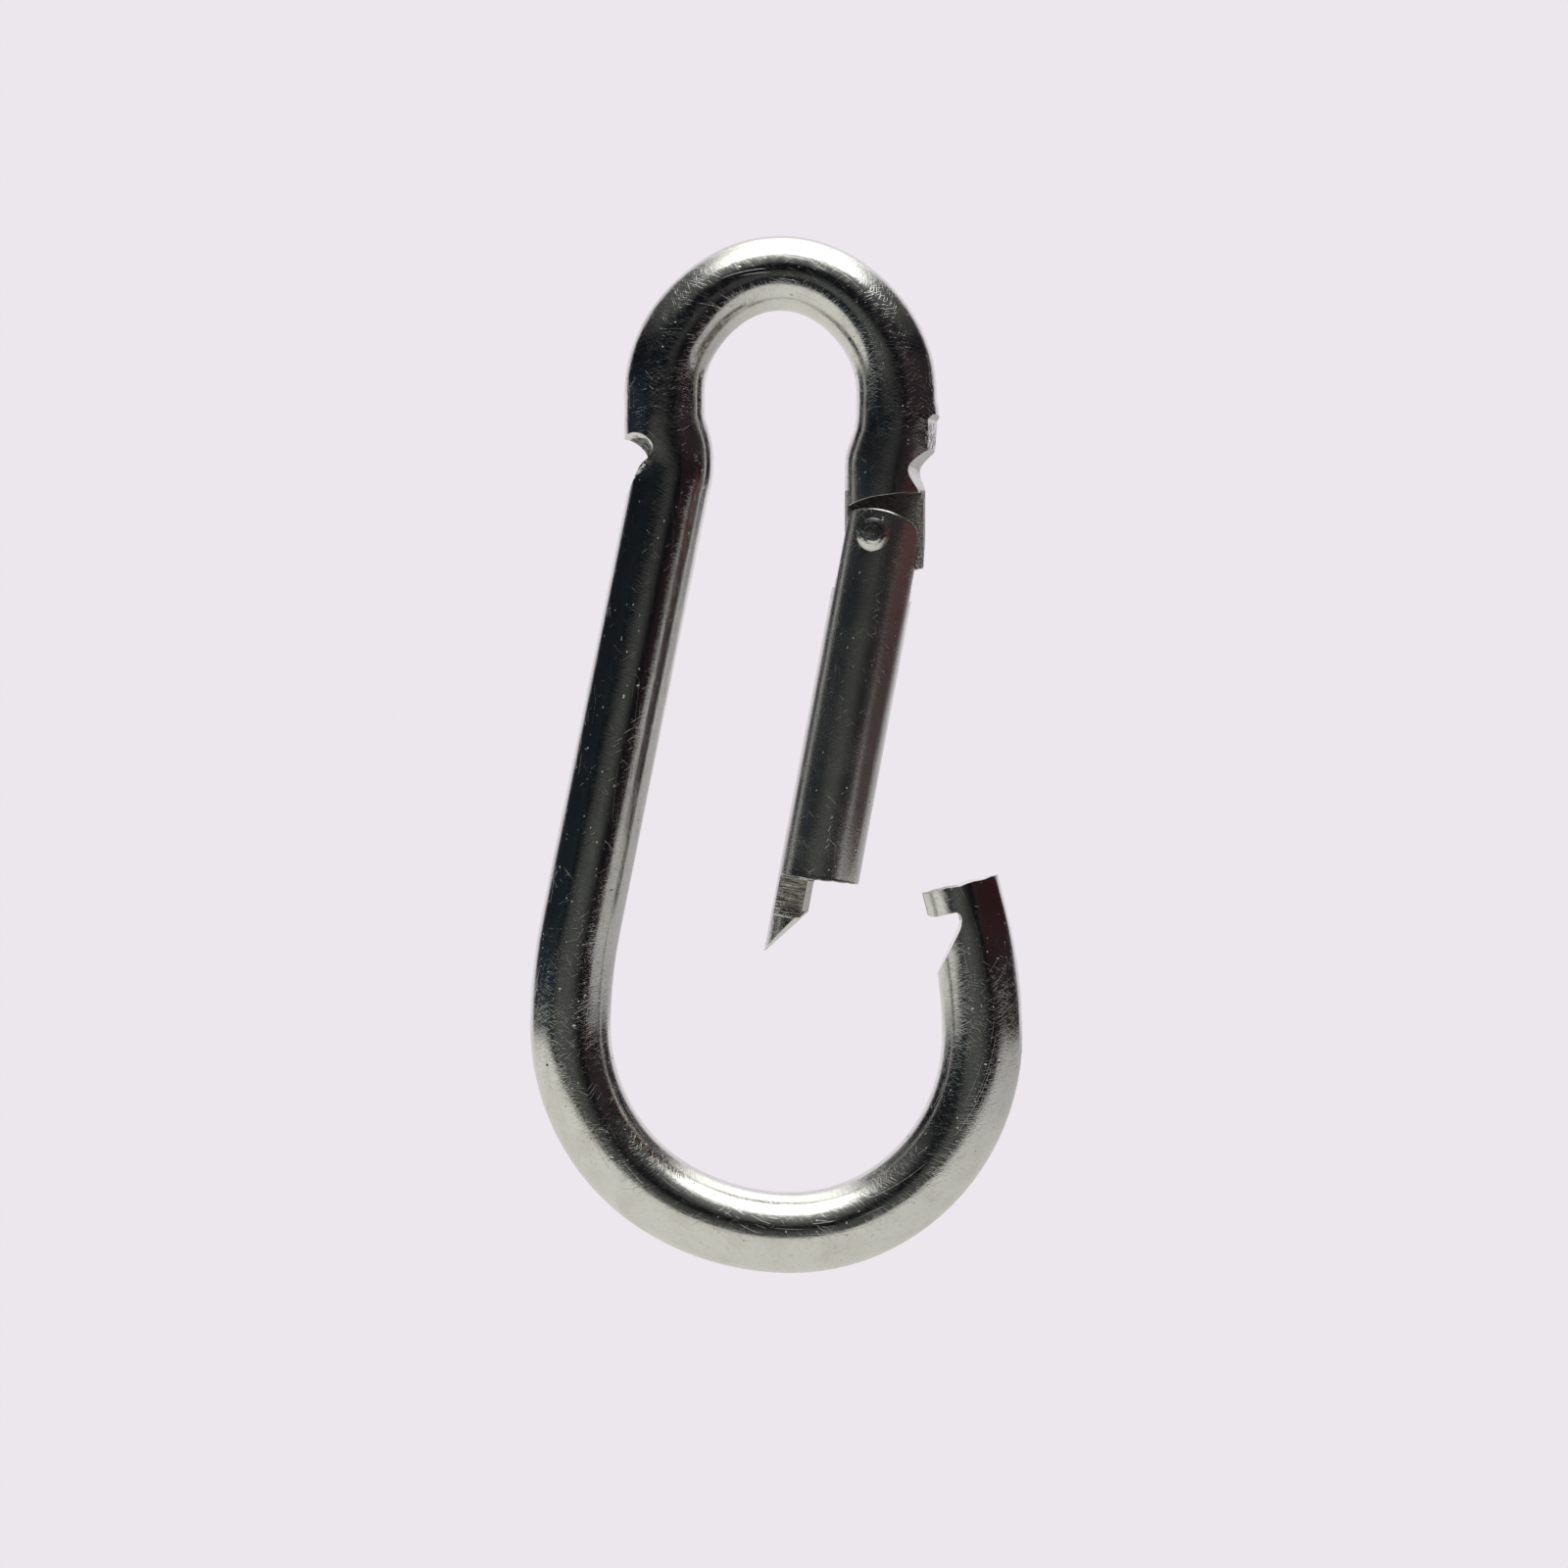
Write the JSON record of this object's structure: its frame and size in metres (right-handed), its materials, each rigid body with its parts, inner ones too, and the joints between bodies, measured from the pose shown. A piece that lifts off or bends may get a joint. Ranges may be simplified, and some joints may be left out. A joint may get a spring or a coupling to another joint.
{
  "type": "spring snap hook",
  "caption": "Pear-shaped snap hook bent from round bar, with a pinched small eye and a sprung, riveted gate whose T-shaped tongue locks into the slotted nose.",
  "frame": {"origin": "centre of the small eye, on the middle plane of the bar", "axes": "+Z along the hook's length, from the bow towards the small eye; +X from the spine towards the gate side; +Y through the eye, square to the plane the hook is bent in"},
  "size_m": [0.0855, 0.016, 0.1801],
  "materials": {
    "body_steel": "polished",
    "gate_steel": "polished",
    "rivet_steel": "polished",
    "spring_steel": "satin",
    "plunger_steel": "satin"
  },
  "bodies": {
    "hook": {"hook_body": "body_steel"},
    "gate": {"gate": "gate_steel", "pivot_rivet": "rivet_steel", "return_spring": "spring_steel"},
    "plunger": {"spring_plunger": "plunger_steel"}
  },
  "joints": [
    {"name": "gate_hinge", "type": "hinge", "parent": "hook", "child": "gate", "pos_m": [0.01597, 0, -0.02516], "axis": [0, 1, 0], "range_deg": [-22.9, 0], "stiffness_Nm_per_rad": 0.2, "springref_deg": -54.43},
    {"name": "plunger_slide", "type": "slide", "parent": "gate", "child": "plunger", "axis": [-0.184, 0, -0.9829], "range_m": [-0.0008, 0], "deforming": ["return_spring"]}
  ],
  "couplings": [
    {"joint": "plunger_slide", "follows": "gate_hinge", "m_per_rad": 0.002}
  ]
}
